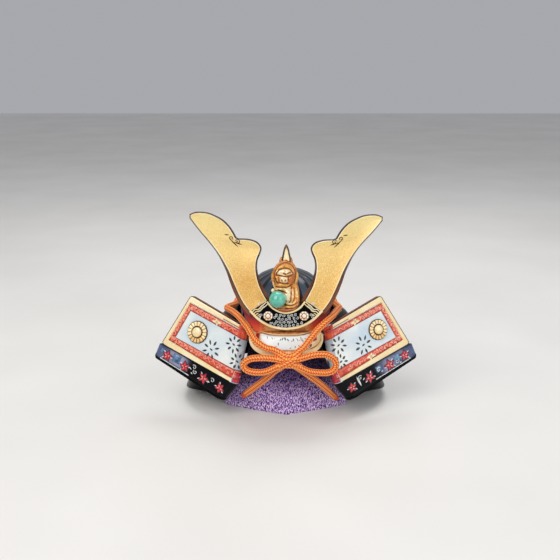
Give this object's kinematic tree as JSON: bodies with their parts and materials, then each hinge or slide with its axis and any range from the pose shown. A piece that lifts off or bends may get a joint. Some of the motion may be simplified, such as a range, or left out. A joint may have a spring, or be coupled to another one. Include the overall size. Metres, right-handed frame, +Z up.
{
  "type": "kabuto samurai helmet on a cloth-covered stand",
  "caption": "Miniature samurai helmet: ribbed bowl, peak, flaring neck guard with turned-back ends, horned crest and tied cord, held up by a cloth-covered stand.",
  "frame": {"origin": "middle of the stand's base, on the floor under the helmet", "axes": "+Z up, the helmet's front towards -Y, its right horn (seen from the front) towards +X"},
  "size_m": [0.183, 0.148, 0.1415],
  "materials": {
    "gold": "satin aged gold over glaze, fine speckle, cream edges",
    "black_glaze": "gloss black glaze with blue-grey highlights",
    "white_glaze": "gloss white glaze with gold frame and red scroll border",
    "red_glaze": "gloss red glaze shading to maroon",
    "silver_scroll": "black glaze with raised silver-grey scrolls",
    "turquoise": "gloss turquoise glaze",
    "orange_cord": "braided silky cord",
    "purple_cloth": "matt crinkled crepe"
  },
  "bodies": {
    "root": {"stand": "purple_cloth", "bowl": "black_glaze", "peak": "white_glaze", "neck_lame_1": "black_glaze", "neck_lame_2": "black_glaze", "neck_lame_3": "black_glaze", "neck_lame_4": "black_glaze", "crest_seat": "red_glaze", "crest_plate": "silver_scroll", "crest_dragon": "gold", "crest_blade": "gold", "crest_pearl": "turquoise", "horn_right": "gold", "rosette_right": "gold", "horn_left": "gold", "rosette_left": "gold", "turn_back_right": "white_glaze", "lowest_turn_back_right": "black_glaze", "boss_right": "gold", "turn_back_left": "white_glaze", "lowest_turn_back_left": "black_glaze", "boss_left": "gold", "cord_round": "orange_cord", "bow_loop_left": "orange_cord", "bow_loop_right": "orange_cord", "cord_tail_left": "orange_cord", "cord_tail_right": "orange_cord", "cord_knot": "orange_cord"}
  },
  "joints": []
}
